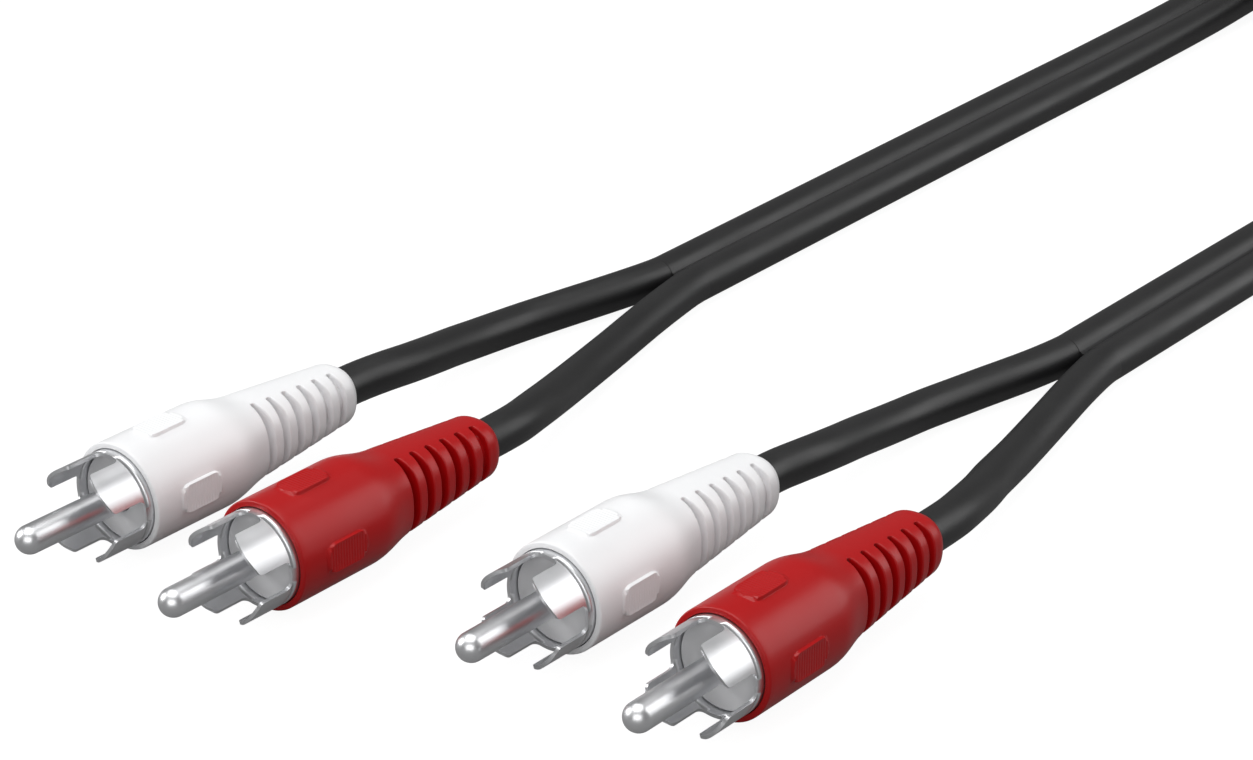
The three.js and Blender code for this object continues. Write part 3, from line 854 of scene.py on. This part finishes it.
def plastic(name, colour_value, roughness, patches, grain_scale, grain, gloss=0.5, depth=0.0):
    """Moulded plastic; depth is how much light passes under its surface."""
    values = {"Roughness": roughness, "Patches": patches, "Grain Scale": grain_scale}
    material, shader = grouped_material(name, "moulded surface", colour_value, values, grain)
    shader.inputs["Specular IOR Level"].default_value = gloss
    shader.inputs["Subsurface Weight"].default_value = depth
    shader.inputs["Subsurface Radius"].default_value = (1, 1, 1)
    shader.inputs["Subsurface Scale"].default_value = 2 * MM
    return material


def metal(name, colour_value, roughness, grain):
    values = {"Roughness": roughness}
    material, shader = grouped_material(name, "plated surface", colour_value, values, grain)
    shader.inputs["Metallic"].default_value = 1.0
    return material


def woven(name, colour_value, threads, roughness, metallic, relief):
    values = {"Threads": threads}
    material, shader = grouped_material(name, "woven threads", colour_value, values, relief)
    shader.inputs["Roughness"].default_value = roughness
    shader.inputs["Metallic"].default_value = metallic
    return material


FINISHES = {
    "white": (plastic, dict(roughness=0.34, patches=0.035, grain_scale=5200.0, grain=0.004 * MM, depth=0.15)),
    "red": (plastic, dict(roughness=0.32, patches=0.10, grain_scale=5200.0, grain=0.004 * MM, gloss=0.35)),
    "insulator": (plastic, dict(roughness=0.55, patches=0.08, grain_scale=7000.0, grain=0.006 * MM)),
    "jacket": (plastic, dict(roughness=0.4, patches=0.2, grain_scale=4200.0, grain=0.008 * MM, gloss=0.55)),
    "wire": (plastic, dict(roughness=0.5, patches=0.05, grain_scale=5000.0, grain=0.004 * MM)),
    "nickel": (metal, dict(roughness=0.33, grain=0.0012 * MM)),
    "copper": (woven, dict(threads=2600.0, roughness=0.35, metallic=1.0, relief=0.05 * MM)),
    "strap": (woven, dict(threads=1300.0, roughness=0.85, metallic=0.0, relief=0.12 * MM)),
}


def finish(name):
    """One of the cable's materials, made when it is first asked for."""
    label = f"cable {name}"
    make, values = FINISHES[name]
    return bpy.data.materials.get(label) or make(
        label, getattr(bpy.context.scene.cable_finishes, name), **values
    )


# Operators


class PlaceCamera(bpy.types.Operator):
    """Sets the camera at the photograph's viewing angle."""

    bl_idname = "cable.place_camera"
    bl_label = "Place Camera"

    def execute(self, context):
        azimuth, elevation = math.radians(CAMERA_AZIMUTH), math.radians(CAMERA_ELEVATION)
        sin_a, cos_a = math.sin(azimuth), math.cos(azimuth)
        sin_e, cos_e = math.sin(elevation), math.cos(elevation)
        right = Vector((cos_a, sin_a, 0))
        up = Vector((-sin_a * sin_e, cos_a * sin_e, cos_e))
        back = Vector((sin_a * cos_e, -cos_a * cos_e, sin_e))
        lens = bpy.data.cameras.new("camera")
        lens.sensor_fit = "HORIZONTAL"
        lens.sensor_width = 36
        lens.lens = CAMERA_LENS
        lens.clip_start = 0.01
        camera = in_scene("camera", lens)
        turn = Matrix((right, up, back)).transposed().to_4x4()
        camera.matrix_world = Matrix.Translation(CAMERA_PLACE) @ turn
        context.scene.camera = camera
        return {"FINISHED"}


class MakeSingleLeads(bpy.types.Operator):
    """Makes the four single leads, from their plugs to the twin lead."""

    bl_idname = "cable.make_single_leads"
    bl_label = "Make Single Leads"

    def execute(self, context):
        sizes = context.scene.lead_sizes
        for node, route in SINGLE_ROUTES.items():
            inwards = 0.15 * MM if node.startswith("white") else -0.15 * MM
            into_twin = Vector(route[-1]) + Vector((inwards, 1.6 * MM, 0))
            centres = smooth_route(route + [tuple(into_twin)], sizes.ring_step)
            # The last ring is a little smaller, so that it stays inside the twin lead.
            radius = [1.0] * (len(centres) - 1) + [0.98]
            lead = swept_lead(f"{node}_dressed", centres, round_section(sizes), radius)
            dress(lead, finish("jacket"), "black_jacket", node)
        return {"FINISHED"}


class MakeTwinLead(bpy.types.Operator):
    """Makes the twin lead: the run from end A, the coil, and the run to end B."""

    bl_idname = "cable.make_twin_lead"
    bl_label = "Make Twin Lead"

    def execute(self, context):
        sizes = context.scene.lead_sizes
        low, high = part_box("twin_lead_coil")
        start = (TWIN_TO_COIL[-1][0], (low.y + high.y) / 2, TWIN_TO_COIL[-1][2])
        turns = coil_turns(sizes, start, end_angle=-45 - 2 * 360)
        route = TWIN_TO_COIL + turns.tolist() + TWIN_FROM_COIL
        centres = smooth_route(route, sizes.ring_step)
        lead = swept_lead("twin_lead_dressed", centres, twin_section(sizes))
        dress(lead, finish("jacket"), "black_jacket", "twin_lead_a", "twin_lead_coil", "twin_lead_b")
        return {"FINISHED"}


class MakeCoilTie(bpy.types.Operator):
    """Makes the strap that holds the coil."""

    bl_idname = "cable.make_coil_tie"
    bl_label = "Make Coil Tie"

    def execute(self, context):
        dress(tie_mesh(context.scene.lead_sizes), finish("strap"), "tie_fabric", "coil_tie")
        return {"FINISHED"}


def overmould_finish(plug):
    return finish("white" if plug.startswith("white") else "red")


def overmould_slot(plug):
    return "white_pvc" if plug.startswith("white") else "red_pvc"


class MakeOvermoulds(bpy.types.Operator):
    """Makes the four plugs' moulded bodies."""

    bl_idname = "cable.make_overmoulds"
    bl_label = "Make Overmoulds"

    def execute(self, context):
        body = overmould_mesh(context.scene.plug_sizes)
        set_on_plugs(body, "overmould", overmould_finish, overmould_slot)
        return {"FINISHED"}


class MakeGroundShells(bpy.types.Operator):
    """Makes the four plugs' shells with their petals."""

    bl_idname = "cable.make_ground_shells"
    bl_label = "Make Ground Shells"

    def execute(self, context):
        shell = ground_shell_mesh(context.scene.plug_sizes)
        set_on_plugs(shell, "ground_shell", lambda plug: finish("nickel"), lambda plug: "plated_contact")
        return {"FINISHED"}


class MakeInsulators(bpy.types.Operator):
    """Makes the discs between pins and shells."""

    bl_idname = "cable.make_insulators"
    bl_label = "Make Insulators"

    def execute(self, context):
        disc = insulator_mesh(context.scene.plug_sizes)
        set_on_plugs(disc, "insulator", lambda plug: finish("insulator"), lambda plug: "grey_insulator")
        return {"FINISHED"}


class MakeContactPins(bpy.types.Operator):
    """Makes the four contact pins."""

    bl_idname = "cable.make_contact_pins"
    bl_label = "Make Contact Pins"

    def execute(self, context):
        pin = contact_pin_mesh(context.scene.plug_sizes)
        set_on_plugs(pin, "contact_pin", lambda plug: finish("nickel"), lambda plug: "plated_contact")
        return {"FINISHED"}


class FinishInnerWires(bpy.types.Operator):
    """Gives the wires inside the plugs their materials."""

    bl_idname = "cable.finish_inner_wires"
    bl_label = "Finish Inner Wires"

    def execute(self, context):
        for plug in PLUGS:
            for suffix, name in (("core_wire", "wire"), ("braid_tail", "copper")):
                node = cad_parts[f"{plug}_{suffix}"]
                node.data.materials.clear()
                node.data.materials.append(finish(name))
        return {"FINISHED"}


def softbox(name, place, target, width, depth, power):
    """A soft lamp of this size at a place, turned towards its target."""
    lamp = bpy.data.lights.new(name, "AREA")
    lamp.shape = "RECTANGLE"
    lamp.size, lamp.size_y = width, depth
    lamp.energy = power
    aim = (Vector(place) - Vector(target)).to_track_quat("Z", "Y")
    in_scene(name, lamp).matrix_world = Matrix.Translation(place) @ aim.to_matrix().to_4x4()


def seen_directly(tree, mirrored):
    """1 for rays from the camera, and a share of it for those that gloss or glass sends on."""
    path = tree.nodes.new("ShaderNodeLightPath")
    sent_on = maths(tree, "MAXIMUM", path.outputs["Is Glossy Ray"], path.outputs["Is Transmission Ray"])
    return maths(tree, "MAXIMUM", path.outputs["Is Camera Ray"], maths(tree, "MULTIPLY", sent_on, mirrored))


def floor_material(mirrored):
    """Matt white that stays white to the eye and keeps a soft shadow."""
    material, tree, shader = new_material("pale floor")
    shader.inputs["Base Color"].default_value = FLOOR_COLOUR
    shader.inputs["Roughness"].default_value = 0.9
    shader.inputs["Emission Color"].default_value = (1, 1, 1, 1)
    glow = maths(tree, "MULTIPLY", seen_directly(tree, mirrored), FLOOR_GLOW)
    tree.links.new(glow, shader.inputs["Emission Strength"])
    return material


class MakeStage(bpy.types.Operator):
    """Makes the floor, the white surroundings and the soft lamps."""

    bl_idname = "cable.make_stage"
    bl_label = "Make Stage"

    def execute(self, context):
        lamps = context.scene.stage_light
        mesh = bpy.data.meshes.new("floor")
        corners = [(x * FLOOR_HALF, y * FLOOR_HALF, 0) for x, y in ((-1, -1), (1, -1), (1, 1), (-1, 1))]
        mesh.from_pydata(corners, [], [(0, 1, 2, 3)])
        mesh.materials.append(floor_material(lamps.mirrored))
        floor = in_scene("floor", mesh)
        middle = (0, 0.05, 0)
        softbox("overhead", (-0.1, 0.0, 0.9), middle, 0.9, 0.9, lamps.overhead)
        softbox("strip", (0.55, 0.75, 0.45), middle, 0.55, 0.8, lamps.strip)
        softbox("side", (-0.7, -0.4, 0.4), middle, 0.4, 0.4, lamps.side)
        softbox("front", (0.42, -0.72, 0.38), middle, 0.9, 0.55, lamps.front)
        world = bpy.data.worlds.new("studio")
        context.scene.world = world
        world.use_nodes = True
        tree = world.node_tree
        room = tree.nodes["Background"]
        room.inputs["Color"].default_value = (1, 1, 1, 1)
        strength = maths(tree, "MAXIMUM", seen_directly(tree, lamps.mirrored), lamps.room)
        tree.links.new(strength, room.inputs["Strength"])
        context.scene.view_settings.view_transform = "Standard"
        return {"FINISHED"}


class CablePanel(bpy.types.Panel):
    """Lists the steps that make the cable."""

    bl_idname = "VIEW3D_PT_audio_cable"
    bl_label = "Audio Cable"
    bl_space_type = "VIEW_3D"
    bl_region_type = "UI"
    bl_category = "Audio Cable"

    def draw(self, context):
        for step in STEPS:
            self.layout.operator(step.bl_idname)
        for group in SETTINGS:
            box = self.layout.box()
            settings = getattr(context.scene, group)
            for name in type(settings).__annotations__:
                box.prop(settings, name)


STEPS = (
    PlaceCamera, MakeSingleLeads, MakeTwinLead, MakeCoilTie, MakeOvermoulds, MakeGroundShells,
    MakeInsulators, MakeContactPins, FinishInnerWires, MakeStage,
)
SETTINGS = {
    "plug_sizes": PlugSizes, "lead_sizes": LeadSizes,
    "cable_finishes": Finishes, "stage_light": StageLight,
}


def register():
    for part in (*SETTINGS.values(), *STEPS, CablePanel):
        bpy.utils.register_class(part)
    for name, group in SETTINGS.items():
        setattr(bpy.types.Scene, name, PointerProperty(type=group))


def unregister():
    for name in SETTINGS:
        delattr(bpy.types.Scene, name)
    for part in (CablePanel, *reversed(STEPS), *reversed(SETTINGS.values())):
        bpy.utils.unregister_class(part)


def main():
    register()
    for step in STEPS:
        group, name = step.bl_idname.split(".")
        getattr(getattr(bpy.ops, group), name)()


def plain(box):
    return [[float(x) for x in corner] for corner in box]


if __name__ == "__main__":
    main()
